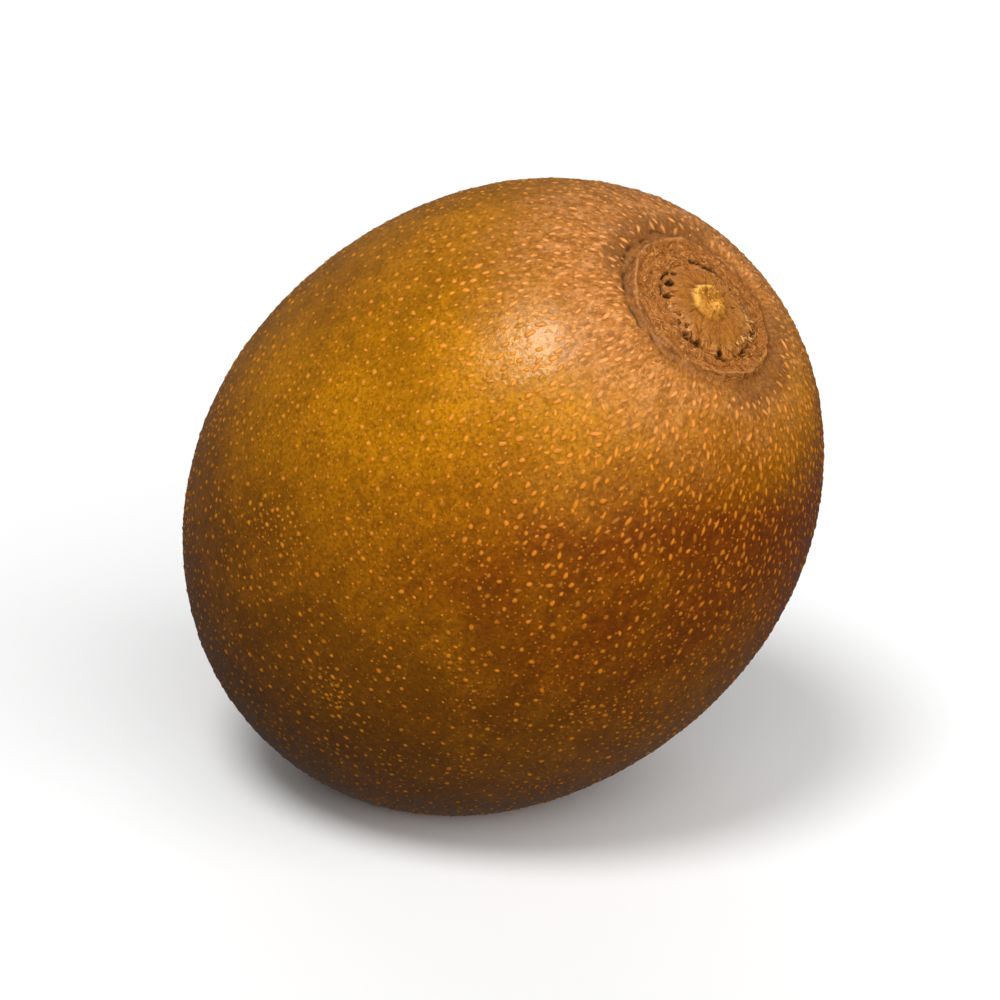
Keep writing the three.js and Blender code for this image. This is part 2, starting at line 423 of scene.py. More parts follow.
def blossom_relief(radius, azimuth):
    """Relief of the blossom end, and the zone of its dried flower."""
    ragged = round_field(azimuth, radius, BLOSSOM_RAGGED)
    tuft = disc(radius + 0.4 * ragged, TUFT_RADIUS, TUFT_EDGE)
    rough = round_field(azimuth, radius, BLOSSOM_ROUGH)
    furrows = round_field(azimuth, radius, BLOSSOM_FURROWS) * hump(radius, *BLOSSOM_FURROW_BAND)
    dimple = DIMPLE_DEPTH * hump(radius, 0, DIMPLE_RADIUS)
    return tuft * (TUFT_HEIGHT + rough) - dimple + furrows, {"tuft": tuft}


def swell(angle, azimuth):
    waves = np.zeros_like(angle)
    for turns, lengthwise, start, share in SWELL_WAVES:
        waves = waves + share * np.cos(turns * azimuth + lengthwise * angle + start)
    return SWELL * np.sin(angle) * waves


def to_row(points):
    """From the fruit's own frame to where it rests, with the flat spot pressed."""
    turn = pi / 2 - AXIS_RISE
    x, y, z = points[..., 0], points[..., 1], points[..., 2]
    row_x = x * cos(turn) + z * sin(turn)
    row_z = z * cos(turn) - x * sin(turn) + MIDDLE_HEIGHT
    blend = (row_z + SPOT_ROUNDING) ** 2 / (4 * SPOT_ROUNDING)
    pressed = np.where(row_z < SPOT_ROUNDING, blend, row_z)
    pressed = np.where(row_z < -SPOT_ROUNDING, 0, pressed)
    return np.stack([row_x, y, pressed], axis=-1)


def skin_points(angle, azimuth, lift=0.0):
    """Points of the skin where it rests, with the zones that its colours follow."""
    power = 2 / FULLNESS
    cosine = np.cos(angle)
    along = HALF_LENGTH * np.sign(cosine) * np.abs(cosine) ** power
    radius = HALF_WIDTH * np.abs(np.sin(angle)) ** power

    height = np.zeros_like(radius)
    zones = {}
    on_stem = (cosine > 0) & (radius < STEM_REACH)
    on_blossom = (cosine < 0) & (radius < BLOSSOM_REACH)
    for there, relief in ((on_stem, stem_relief), (on_blossom, blossom_relief)):
        end_height, end_zones = relief(radius[there], azimuth[there])
        height[there] = end_height
        for name, values in end_zones.items():
            zones[name] = np.zeros_like(radius)
            zones[name][there] = values

    height = height + SHOULDER_HEIGHT * hump(angle, SHOULDER_ANGLE, SHOULDER_SPREAD)
    height = height + swell(angle, azimuth)
    place = (radius * np.cos(azimuth), radius * np.sin(azimuth), along)
    leathery = np.where(cosine > 0, smoothstep(radius, *SKIN_START), 1)
    height = height + leathery * (clouds(place, PITS) + clouds(place, GRAIN)) + lift

    out, up = radius / HALF_WIDTH**2, along / HALF_LENGTH**2
    size = np.hypot(out, up)
    reach = radius + height * out / size
    points = np.stack(
        [reach * np.cos(azimuth), reach * np.sin(azimuth), along + height * up / size], axis=-1
    )
    zones["veil"] = russet_veil(angle, azimuth, place)
    # The brown zone is partly redder skin and partly painted shade on the downward-facing skin.
    zones["brown"] = brown_and_shade_cast(angle, azimuth, place)
    # The deep zone is partly deeper gold skin and partly painted shade.
    zones["deep_and_shade"] = deep_gold_and_shade_cast(angle, azimuth, place)
    return to_row(points), zones


def russet_veil(angle, azimuth, place):
    """How much tan russet covers the gold: all round both ends, fading away from them."""
    uneven = clouds(place, VEIL_CLOUDS) + clouds(place, VEIL_SPECKLE)
    from_stem = angle * HALF_WIDTH + uneven - VEIL_UPWARD * np.cos(azimuth - UPWARD)
    from_blossom = (pi - angle) * HALF_WIDTH + VEIL_BLOSSOM_UNEVEN * uneven
    near_stem = 1 - smoothstep(from_stem, *VEIL_AT_STEM)
    near_blossom = 1 - smoothstep(from_blossom, *VEIL_AT_BLOSSOM)
    return np.maximum(near_stem, VEIL_BLOSSOM_SHARE * near_blossom)


def brown_and_shade_cast(angle, azimuth, place):
    """How far the gold turns a darker red-brown on the low side, less so far from the stem end: partly
    the skin's own redder colour, partly painted shade that grows as the skin faces down.
    """
    facing_up = sin(AXIS_RISE) * np.cos(angle)
    facing_up = facing_up - cos(AXIS_RISE) * np.sin(angle) * np.cos(azimuth)
    blotches = clouds(place, BROWN_CLOUDS) + clouds(place, BROWN_SPECKLE)
    beside_ring = 1 - smoothstep(angle, *RING_ANGLES)
    golder = on_side(azimuth, GOLDER_SIDE) * (1 - smoothstep(angle, *GOLDER_ANGLES))
    golder = GOLDER_BY * np.maximum(beside_ring, golder)
    browner = BROWNER_BY * on_side(azimuth, BROWNER_SIDE)
    low_side_brown_and_shade = np.clip((BROWN_START - facing_up + blotches - golder + browner) / BROWN_REACH, 0, 1)
    fade = 1 - BROWN_FADE * smoothstep(angle + 2 * blotches, *BROWN_FADE_ANGLES)
    return low_side_brown_and_shade**0.9 * fade


def deep_gold_and_shade_cast(angle, azimuth, place):
    """How far the gold deepens on the upper side and towards the blossom end: partly the skin's own
    deeper gold, partly painted shade.
    """
    blotches = clouds(place, DEEP_CLOUDS)
    above = smoothstep(np.cos(azimuth - DEEP_AZIMUTH) + blotches, *DEEP_EDGE)
    far_side = smoothstep(angle + blotches - DEEP_TILT * np.cos(azimuth - UPWARD), *DEEP_ANGLES)
    return np.maximum(DEEP_ABOVE * above, far_side)


# ---- making meshes

def new_mesh(name, points, faces, material):
    """A smooth mesh object in the scene, from points in metres."""
    mesh = bpy.data.meshes.new(name)
    mesh.from_pydata(points, [], faces)
    mesh.polygons.foreach_set("use_smooth", [True] * len(mesh.polygons))
    mesh.materials.append(material)
    made = bpy.data.objects.new(name, mesh)
    bpy.context.scene.collection.objects.link(made)
    return made


def mesh_piece(name, points, faces, material, zones):
    """A mesh that rides on the fruit, from points in millimetres."""
    piece = new_mesh(name, (np.asarray(points) * MM).tolist(), faces, material)
    for zone_name, values in zones.items():
        attribute = piece.data.attributes.new(zone_name, "FLOAT", "POINT")
        attribute.data.foreach_set("value", np.ravel(values).astype(np.float32))
    piece.data.update()
    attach(piece, "root")
    return piece


def ring_faces(first, sides, rings):
    """Faces between rings of points that follow each other from the first point on."""
    faces = []
    for ring in range(rings - 1):
        upper = first + ring * sides
        lower = upper + sides
        for corner in range(sides):
            beside = (corner + 1) % sides
            faces.append((upper + corner, lower + corner, lower + beside, upper + beside))
    return faces


def ring_angles():
    """Angles of the skin's rings: close together at both ends, wider round the middle."""
    angles = []
    angle = STEM_STEP
    while angle < pi - BLOSSOM_STEP:
        angles.append(angle)
        from_stem = smoothstep(angle, STEM_FINE_ANGLE, 1.5 * STEM_FINE_ANGLE)
        from_blossom = smoothstep(pi - angle, BLOSSOM_FINE_ANGLE, 4 * BLOSSOM_FINE_ANGLE)
        stem_step = STEM_STEP + (BODY_STEP - STEM_STEP) * from_stem
        blossom_step = BLOSSOM_STEP + (BODY_STEP - BLOSSOM_STEP) * from_blossom
        angle += float(min(stem_step, blossom_step))
    return np.array(angles)


def make_skin(material):
    rings = ring_angles()
    columns = 2 * pi * np.arange(SEGMENTS) / SEGMENTS
    angle, azimuth = np.meshgrid(rings, columns, indexing="ij")
    angle = np.concatenate([[0.0], angle.ravel(), [pi]])
    azimuth = np.concatenate([[0.0], azimuth.ravel(), [0.0]])
    points, zones = skin_points(angle, azimuth)

    faces = ring_faces(1, SEGMENTS, len(rings))
    last = len(points) - 1
    for segment in range(SEGMENTS):
        beside = (segment + 1) % SEGMENTS
        faces.append((0, 1 + segment, 1 + beside))
        faces.append((last, last - SEGMENTS + beside, last - SEGMENTS + segment))
    return mesh_piece("skin", points, faces, material, zones)


# ---- lenticels

LENTICEL_SEED = 11
LENTICEL_SINK = 0.03  # how far an edge lies below the skin
LENTICEL_START = 8.9  # nearest to the stem's axis
LOWEST_COSINE = -0.992  # and nearest to the blossom end
CELL = 2.2  # of the grid that finds neighbours
CROWDING = 0.42  # how unevenly the body's lenticels lie
CROWD_SIZE = 4.5
STRETCH_ANGLES = (0.45, 1.3)  # most drawn out before them, least beyond
STRETCH_TILT = 0.22  # and further down on one side
STRETCH_AZIMUTH = radians(-35)
FRAME_STEP = 0.012  # angle over which the skin's directions are taken
# tries, spacing on the body and near the stem, smallest and largest size, sides, rings of points
LARGE = (50000, 1.26, 0.80, 0.17, 0.34, 8, [(0.4, 0.85), (0.75, 0.42), (1.0, 0.0)])
SMALL = (40000, 0.98, 0.66, 0.08, 0.17, 6, [(0.6, 0.6), (1.0, 0.0)])


def skin_run(angle, azimuth, angle_step, azimuth_step):
    """The way that the skin runs at each place."""
    onward, _ = skin_points(angle + angle_step, azimuth + azimuth_step)
    back, _ = skin_points(angle - angle_step, azimuth - azimuth_step)
    return onward - back


def surface_frames(angle, azimuth):
    """Places on the skin with their directions along the fruit, round it and outwards."""
    here, zones = skin_points(angle, azimuth)
    down = skin_run(angle, azimuth, FRAME_STEP, 0)
    down /= np.linalg.norm(down, axis=1, keepdims=True)
    around = skin_run(angle, azimuth, 0, FRAME_STEP / np.maximum(np.sin(angle), 0.1))
    around -= down * np.sum(down * around, axis=1, keepdims=True)
    around /= np.linalg.norm(around, axis=1, keepdims=True)
    return here, down, around, np.cross(down, around), zones


def scatter_lenticels(draw, taken, tries, body_spacing, stem_spacing):
    """Random places that keep their distance: closer together towards the stem end."""
    chosen = []
    for _ in range(tries):
        cosine = draw.uniform(LOWEST_COSINE, 1)
        angle = acos(cosine)
        azimuth = draw.uniform(0, 2 * pi)
        # an ellipsoid has less skin near its poles than the sphere that the draw is even on
        if draw.random() > hypot(HALF_LENGTH * sin(angle), HALF_WIDTH * cosine) / HALF_LENGTH:
            continue
        radius = HALF_WIDTH * sin(angle)
        if cosine > 0 and radius < LENTICEL_START:
            continue
        tilt = STRETCH_TILT * cos(azimuth - STRETCH_AZIMUTH)
        near = 1 - float(smoothstep(angle - tilt, *STRETCH_ANGLES))
        place = np.array([radius * cos(azimuth), radius * sin(azimuth), HALF_LENGTH * cosine])
        spacing = body_spacing + (stem_spacing - body_spacing) * near
        spacing *= draw.uniform(0.75, 1.35)
        spacing *= 1 + (1 - near) * 2 * CROWDING * noise.noise(Vector(place / CROWD_SIZE))
        key = tuple(int(c) for c in np.floor(place / CELL))
        neighbours = (
            other
            for i in (-1, 0, 1) for j in (-1, 0, 1) for k in (-1, 0, 1)
            for other in taken.get((key[0] + i, key[1] + j, key[2] + k), ())
        )
        if any(np.sum((place - other) ** 2) < spacing**2 for other in neighbours):
            continue
        taken.setdefault(key, []).append(place)
        chosen.append((angle, azimuth, near))
    return chosen


def make_lenticels(material):
    """Low corky domes, drawn out along the fruit near the stem end."""
    draw = random.Random(LENTICEL_SEED)
    taken = {}
    for kind, pale, settings in (("large", 1.0, LARGE), ("small", 0.7, SMALL)):
        tries, body, stem, smallest, largest, sides, rings = settings
        chosen = scatter_lenticels(draw, taken, tries, body, stem)
        angle, azimuth, _ = np.array(chosen).T
        frames = surface_frames(angle, azimuth)
        order = np.argsort(angle)
        middle = len(order) // 2
        for half, part in (("upper", order[:middle]), ("lower", order[middle:])):
            domes = [
                dome(draw, index, chosen[index][2], frames, smallest, largest, sides, rings, pale)
                for index in part
            ]
            faces, first = [], 0
            for points, dome_faces, _ in domes:
                faces += [tuple(first + corner for corner in face) for face in dome_faces]
                first += len(points)
            points = np.concatenate([d[0] for d in domes])
            zones = {name: np.concatenate([d[2][name] for d in domes]) for name in domes[0][2]}
            piece = mesh_piece(f"lenticels_{kind}_{half}", points, faces, material, zones)


def dome(draw, index, near, frames, smallest, largest, sides, rings, pale):
    """One lenticel: its points, faces and zones."""
    here, down, around, outwards, zones = frames
    size = smallest + (largest - smallest) * draw.random() ** (1.5 - 0.8 * near)
    long = size * (1 + near * draw.uniform(0.15, 1.15) + 0.25 * draw.random())
    wide = size * (1 - 0.15 * near)
    lean = draw.gauss(0, 0.35) if near > 0.15 else draw.uniform(0, pi)
    height = 0.008 + 0.22 * size * draw.uniform(0.7, 1.2)
    along = cos(lean) * down[index] + sin(lean) * around[index]
    side = cos(lean) * around[index] - sin(lean) * down[index]
    points = [here[index] + outwards[index] * height]
    cork = [1.0]
    edge = [draw.uniform(0.78, 1.18) for _ in range(sides)]
    for share_out, share_up in rings:
        for corner in range(sides):
            turn = 2 * pi * corner / sides
            out = share_out * (1 + (edge[corner] - 1) * share_out)
            rise = height * share_up * draw.uniform(0.85, 1.1) if share_up else -LENTICEL_SINK
            place = along * (long * out * cos(turn)) + side * (wide * out * sin(turn))
            points.append(here[index] + place + outwards[index] * rise)
            cork.append(share_up)
    faces = [(0, 1 + corner, 1 + (corner + 1) % sides) for corner in range(sides)]
    faces += ring_faces(1, sides, len(rings))
    tone = pale * draw.random() ** 0.8
    whole = {"tone": tone, "veil": zones["veil"][index], "brown": zones["brown"][index]}
    values = {name: np.full(len(points), value) for name, value in whole.items()}
    values["cork"] = np.array(cork)
    return points, faces, values


# ---- dry strands at both ends

AXIS = np.array([cos(AXIS_RISE), 0, sin(AXIS_RISE)])
CORNERS = [(1, 0), (0, 1), (-1, 0), (0, -1)]  # of a strand's section: sideways, outwards
STRAND_FLOOR = 0.02  # no strand lies lower


def grown(step, growth, start=0):
    """One value a strand and station: the strand's start, and its growth by the step there."""
    return np.reshape(start, (-1, 1)) + growth[:, None] * step


def make_strands(name, material, radius, azimuth, lift, half_width, half_height, tone, stem=True):
    """Tapered strands on the skin: a row of the arrays is one strand, a column a station."""
    angle = np.arcsin((np.clip(radius, 0.02, 20) / HALF_WIDTH) ** (FULLNESS / 2))
    places, _ = skin_points((angle if stem else pi - angle).ravel(), azimuth.ravel(), lift.ravel())
    places = places.reshape(*radius.shape, 3)
    outwards = AXIS if stem else -AXIS
    run = np.gradient(places, axis=1)
    side = np.cross(run, outwards)
    side /= np.maximum(np.linalg.norm(side, axis=2, keepdims=True), 1e-9)
    corners = [
        places + side * (half_width * out)[..., None] + outwards * (half_height * up)[..., None]
        for out, up in CORNERS
    ]
    points = np.stack(corners, axis=2).reshape(-1, 3)
    points[:, 2] = np.maximum(points[:, 2], STRAND_FLOOR)
    count, stations = radius.shape
    sides = len(CORNERS)
    faces = []
    for strand in range(count):
        first = strand * stations * sides
        faces.append(tuple(first + corner for corner in range(sides)))
        last = first + (stations - 1) * sides
        faces.append(tuple(last + corner for corner in reversed(range(sides))))
        faces += ring_faces(first, sides, stations)
    zones = {"tone": np.repeat(tone, stations * sides)}
    piece = mesh_piece(name, points, faces, material, zones)


def make_calyx_fibres(material):
    """Short fibres: a few along the plate's rays, most of them round the brown band."""
    draw = np.random.default_rng(21)
    count, stations = 620, 5
    on_plate, on_band, between = (2.2, 4.6), (4.9, 7.5), 4.8
    step = np.linspace(-0.5, 0.5, stations)
    few = draw.random(count) < 0.22
    start = np.where(few, draw.uniform(*on_plate, count), draw.uniform(*on_band, count))
    turn = draw.uniform(0, 2 * pi, count)
    along_rays, round_band = draw.normal(0, 0.5, count), draw.normal(1.35, 0.55, count)
    heading = np.where(start < between, along_rays, round_band)
    length = draw.uniform(0.4, 1.5, count)
    torn = tears(start * np.cos(turn), start * np.sin(turn), 0 * turn) > 0.05
    start = np.where(torn, start + 0.9, start)
    bend = draw.normal(0, 0.25, count)
    radius = grown(step, length * np.cos(heading), start) + grown(step**2, bend)
    azimuth = grown(step, length * np.sin(heading) / start, turn)
    arch = 1 - (2 * step) ** 2
    lift = grown(arch, draw.uniform(-0.01, 0.07, count)) - 0.03
    half_width = grown(0.3 + 0.7 * arch, draw.uniform(0.05, 0.12, count))
    tone = 0.15 + 0.7 * draw.random(count)
    make_strands("calyx_fibres", material, radius, azimuth, lift, half_width, 0.6 * half_width, tone)


def make_calyx_flakes(material):
    """Torn flat ends of the plate over the crack round it, palest and thickest on the low side."""
    draw = np.random.default_rng(22)
    count, stations = 46, 4
    low_middle, palest = radians(38), radians(35)
    step = np.linspace(0, 1, stations)
    low = draw.random(count) < 0.7
    turn = np.where(low, draw.normal(low_middle, 0.5, count), draw.uniform(0, 2 * pi, count))
    turn = np.where(np.cos(turn - SLIT_AZIMUTH) > 0.88, turn + 2.2, turn)
    pale_side = 0.5 + 0.5 * np.cos(turn - palest)
    start = draw.uniform(3.9, 4.7, count)
    length = draw.uniform(0.35, 0.9, count)
    radius = grown(step, length, start)
    azimuth = grown(step, draw.normal(0, 0.09, count), turn)
    rise = draw.uniform(0.02, 0.18, count) + 0.16 * pale_side * draw.random(count)
    lift = grown(step**1.5, rise) - 0.03
    taper = np.array([0.8, 1.0, 0.8, 0.35])
    half_width = grown(taper, draw.uniform(0.12, 0.3, count))
    half_height = np.full_like(half_width, 0.035)
    tone = np.clip(0.1 + 0.9 * pale_side**3 + draw.normal(0, 0.2, count), 0, 1)
    make_strands("calyx_flakes", material, radius, azimuth, lift, half_width, half_height, tone)


def make_stalk_splinters(material):
    """Broken fibres of the stalk, standing on the scar and leaning outwards."""
    draw = np.random.default_rng(23)
    count, stations, reach = 30, 3, 1.6
    step = np.linspace(0, 1, stations)
    start = reach * np.sqrt(draw.random(count))
    turn = draw.uniform(0, 2 * pi, count)
    height = draw.uniform(0.08, 0.3, count)
    radius = grown(step, height * draw.uniform(0.3, 1.0, count), start)
    azimuth = grown(step, draw.normal(0, 0.12, count), turn)
    lift = grown(step, height) - 0.06
    half_width = grown(1 - 0.7 * step, draw.uniform(0.08, 0.18, count))
    tone = draw.random(count)
    make_strands("stalk_splinters", material, radius, azimuth, lift, half_width, half_width, tone)


def make_blossom_tuft(material):
    """Dried petals and styles, shrivelled over the blossom end."""
    draw = np.random.default_rng(24)
    count, stations = 60, 6
    petal, style = (0.32, 0.06), (0.09, 0.08)  # half width and half height
    step = np.linspace(0, 1, stations)
    broad = draw.random(count) < 0.4
    start = draw.uniform(0.1, 1.6, count)
    turn = draw.uniform(0, 2 * pi, count)
    length = draw.uniform(0.9, 2.4, count)
    radius = grown(step, length, start)
    azimuth = grown(step**2, draw.normal(0, 0.35, count), turn)
    arch = np.sin(pi * np.clip(step * 0.85 + 0.08, 0, 1))
    lift = grown(arch, draw.uniform(0.1, 0.5, count)) + 0.05
    half_width = grown(1 - 0.75 * step**2, np.where(broad, petal[0], style[0]))
    half_height = grown(1 - 0.6 * step, np.where(broad, petal[1], style[1]))
    tone = draw.random(count)
    make_strands(
        "blossom_tuft", material, radius, azimuth, lift, half_width, half_height, tone, stem=False
    )


# ---- colours and textures

GOLD = (0.73, 0.277, 0.001)
# A darker copy of the gold, partly painted shade.
DEEP_GOLD_AND_SHADE = (0.45, 0.158, 0.001)
OLIVE = (0.21, 0.075, 0.001)
# Brown of the low side and its darker mottles, both deepened as painted shade.
BROWN_AND_SHADE = (0.27, 0.057, 0.001)
DARK_BROWN_AND_SHADE = (0.12, 0.024, 0.001)
UMBER = (0.13, 0.042, 0.001)
RUSSET = (0.54, 0.19, 0.036)
DARK_RUSSET = (0.20, 0.068, 0.012)
PALE_RUSSET = (0.72, 0.31, 0.10)
CORK = (0.95, 0.31, 0.018)
PALE_CORK = (0.92, 0.36, 0.10)
# Cork of the lenticels on the low side, darkened in part as painted shade.
LOW_CORK_AND_SHADE = (0.78, 0.235, 0.008)
ANNULUS = (0.44, 0.142, 0.022)
PLATE = (0.42, 0.147, 0.016)
BARK = (0.16, 0.052, 0.008)
SCAR = (0.56, 0.21, 0.016)
PALE_SCAR = (0.90, 0.45, 0.07)
DARK_STALK = (0.30, 0.11, 0.008)
RIDGE = (0.66, 0.29, 0.085)
PALE_FIBRE = (0.70, 0.33, 0.09)
# Near black, painted into cracks, crease, pits and hollows as their shade.
CRACK_SHADE = (0.05, 0.018, 0.002)
TUFT = (0.22, 0.10, 0.04)
DARK_TUFT = (0.10, 0.045, 0.018)
PALE_TUFT = (0.46, 0.25, 0.12)
GLOSS_TINT = (1.0, 0.80, 0.58, 1.0)
WHITE = (1, 1, 1, 1)

# Noise: feature in millimetres, detail, roughness, and the two values that it rises between
BROAD_MOTTLES = (7, 4, 0.6, 0.38, 0.64)
MOTTLES = (2.6, 4, 0.65, 0.44, 0.64)
FINE_MOTTLES = (0.9, 4, 0.65, 0.46, 0.7)
SKIN_GRAIN = (0.34, 3, 0.6, 0.42, 0.62)
BLOOM = (1.6, 4, 0.65, 0.4, 0.7)
CRUMBS = (0.34, 4, 0.7, 0.42, 0.62)
LIGHT_BITS = (0.32, 3, 0.65, 0.52, 0.66)
SCAR_FIBRES = (0.28, 4, 0.7, 0.42, 0.6)
SHEEN = (1.1, 3, 0.5, 0.25, 0.8)
PORES = (0.16, 2, 0.5, 0.5, 0.75)
STRAND_CRUMBS = (0.25, 3, 0.6, 0.4, 0.7)
# Streaks: a third of their features round the stem's axis, features per millimetre outwards,
# and the two values
SCURF = (28, 1.1, 0.44, 0.62)
FLECKS = (38, 1.6, 0.54, 0.67)
RAYS = (9, 0.9, 0.42, 0.64)
HOOPS = (3.5, 3.2, 0.42, 0.64)
# Specks: spacing in millimetres, and the distances of edge and middle in spacings
DARK_SPECKS = (0.9, 0.24, 0.08)
PALE_SPECKS = (0.62, 0.26, 0.08)
# Bump, in millimetres
BUMP_GRAIN = (0.5, 4, 0.62)
BUMP_CELLS = 0.6
BUMP_DEPTH = 0.12


def add_node(tree, kind, inputs=None, **settings):
    """A shader node with its inputs set to values or linked to sockets."""
    made = tree.nodes.new("ShaderNode" + kind)
    for name, value in settings.items():
        setattr(made, name, value)
    for name, value in (inputs or {}).items():
        if isinstance(value, bpy.types.NodeSocket):
            tree.links.new(value, made.inputs[name])
        else:
            made.inputs[name].default_value = value
    return made


def zone(tree, name):
    return add_node(tree, "Attribute", attribute_name=name).outputs["Fac"]


def math_node(tree, operation, *values, clamp=False):
    inputs = dict(enumerate(values))
    return add_node(tree, "Math", inputs, operation=operation, use_clamp=clamp).outputs[0]


def vector_node(tree, operation, *values):
    return add_node(tree, "VectorMath", dict(enumerate(values)), operation=operation).outputs[0]


def times(tree, value, share):
    return math_node(tree, "MULTIPLY", value, share)


def times_plus(tree, value, share, base):
    return math_node(tree, "MULTIPLY_ADD", value, share, base)


def mix(tree, factor, *colours):
    """Mixes two colours, each a socket or (red, green, blue)."""
    first, second = ((*colour, 1) if isinstance(colour, tuple) else colour for colour in colours)
    return add_node(tree, "Mix", {0: factor, 6: first, 7: second}, data_type="RGBA").outputs[2]


def cover(tree, colour, *layers):
    """A colour with others laid over it: where each one lies, its share there and its colour."""
    for layer, share, other in layers:
        colour = mix(tree, times(tree, layer, share), colour, other)
    return colour


def ramp(tree, value, low, high):
    """A socket that goes from 0 to 1 as the value goes from low to high."""
    inputs = {"Value": value, "From Min": low, "From Max": high}
    return add_node(tree, "MapRange", inputs, interpolation_type="SMOOTHSTEP").outputs[0]


def noise_at(tree, place, feature, detail, roughness):
    """Noise whose features are about this many millimetres across."""
    inputs = {"Vector": place, "Scale": 1 / (feature * MM), "Detail": detail, "Roughness": roughness}
    return add_node(tree, "TexNoise", inputs).outputs["Fac"]


def spots_at(tree, place, spacing):
    """Distance to the nearest of many scattered points, about this many millimetres apart."""
    inputs = {"Vector": place, "Scale": 1 / (spacing * MM)}
    return add_node(tree, "TexVoronoi", inputs).outputs["Distance"]


def mottles(tree, place, pattern):
    feature, detail, roughness, low, high = pattern
    return ramp(tree, noise_at(tree, place, feature, detail, roughness), low, high)


def specks(tree, place, pattern):
    spacing, edge, middle = pattern
    return ramp(tree, spots_at(tree, place, spacing), edge, middle)


def streaks(tree, place, pattern):
    """Streaks that run round the stem's axis or out from it."""
    around, along, low, high = pattern
    middle = vector_node(tree, "SUBTRACT", place, (0, 0, MIDDLE_HEIGHT * MM))
    inputs = {"Vector": middle, "Rotation": (0, AXIS_RISE - pi / 2, 0)}
    own = add_node(tree, "Mapping", inputs, vector_type="POINT").outputs[0]
    flat = vector_node(tree, "MULTIPLY", own, (1, 1, 0))
    radius = add_node(tree, "VectorMath", {0: flat}, operation="LENGTH").outputs["Value"]
    heading = vector_node(tree, "NORMALIZE", flat)
    spread = vector_node(tree, "MULTIPLY", heading, (around, around, 0))
    run = add_node(tree, "CombineXYZ", {"Z": times(tree, radius, along / MM)}).outputs[0]
    inputs = {"Vector": vector_node(tree, "ADD", spread, run), "Scale": 1.0, "Detail": 3.0}
    return ramp(tree, add_node(tree, "TexNoise", inputs).outputs["Fac"], low, high)


# ---- materials

def new_material(name):
    """An empty material with its node tree, and the place that its textures go by."""
    material = bpy.data.materials.new(name)
    material.use_nodes = True
    tree = material.node_tree
    tree.nodes.clear()
    return material, tree, tree.nodes.new("ShaderNodeTexCoord").outputs["Object"]


def add_shader(tree, colour, roughness, gloss, others=None, tint=GLOSS_TINT):
    """The surface of a material: each input is a value or a socket."""
    inputs = {"Base Color": colour, "Roughness": roughness, **(others or {})}
    inputs.update({"Specular IOR Level": gloss, "Specular Tint": tint})
    shader = add_node(tree, "BsdfPrincipled", inputs)
    add_node(tree, "OutputMaterial", {0: shader.outputs[0]})


def skin_colour(tree, place):
    """Gold skin with olive mottling, browner on the low side and deeper gold above and towards the
    blossom end, both partly painted shade, and veiled by russet at both ends.
    """
    brown, deep_and_shade = zone(tree, "brown"), zone(tree, "deep_and_shade")
    grain = mottles(tree, place, SKIN_GRAIN)
    scurf = streaks(tree, place, SCURF)
    # On the low side the mottles and the gold turn browner and darker, partly as painted shade.
    dark = mix(tree, brown, OLIVE, DARK_BROWN_AND_SHADE)
    # Deeper gold, partly painted shade, on the upper side and towards the blossom end.
    colour = mix(tree, times(tree, deep_and_shade, 0.9), GOLD, DEEP_GOLD_AND_SHADE)
    colour = mix(tree, brown, colour, BROWN_AND_SHADE)
    uneven = times_plus(tree, deep_and_shade, 0.3, 0.14)
    colour = cover(
        tree, colour,
        (mottles(tree, place, BROAD_MOTTLES), uneven, dark),
        (mottles(tree, place, MOTTLES), uneven, dark),
        (mottles(tree, place, FINE_MOTTLES), 0.38, dark),
        (grain, 0.5, dark),
        (scurf, times_plus(tree, brown, 0.38, 0.08), dark),
        (specks(tree, place, DARK_SPECKS), 0.4, UMBER),
        (specks(tree, place, PALE_SPECKS), 0.5, CORK),
    )
    russet = cover(
        tree, mix(tree, mottles(tree, place, BLOOM), RUSSET, PALE_RUSSET),
        (scurf, 0.62, DARK_RUSSET),
        (streaks(tree, place, FLECKS), 0.7, PALE_CORK),
        (grain, 0.4, DARK_RUSSET),
    )
    return cover(tree, colour, (zone(tree, "veil"), 0.9, russet))


def skin_bump(tree, place, strength):
    """Fine leathery grain, too small for the mesh."""
    height = times_plus(tree, spots_at(tree, place, BUMP_CELLS), 0.35, noise_at(tree, place, *BUMP_GRAIN))
    inputs = {"Height": height, "Strength": strength, "Distance": BUMP_DEPTH * MM}
    return add_node(tree, "Bump", inputs).outputs[0]


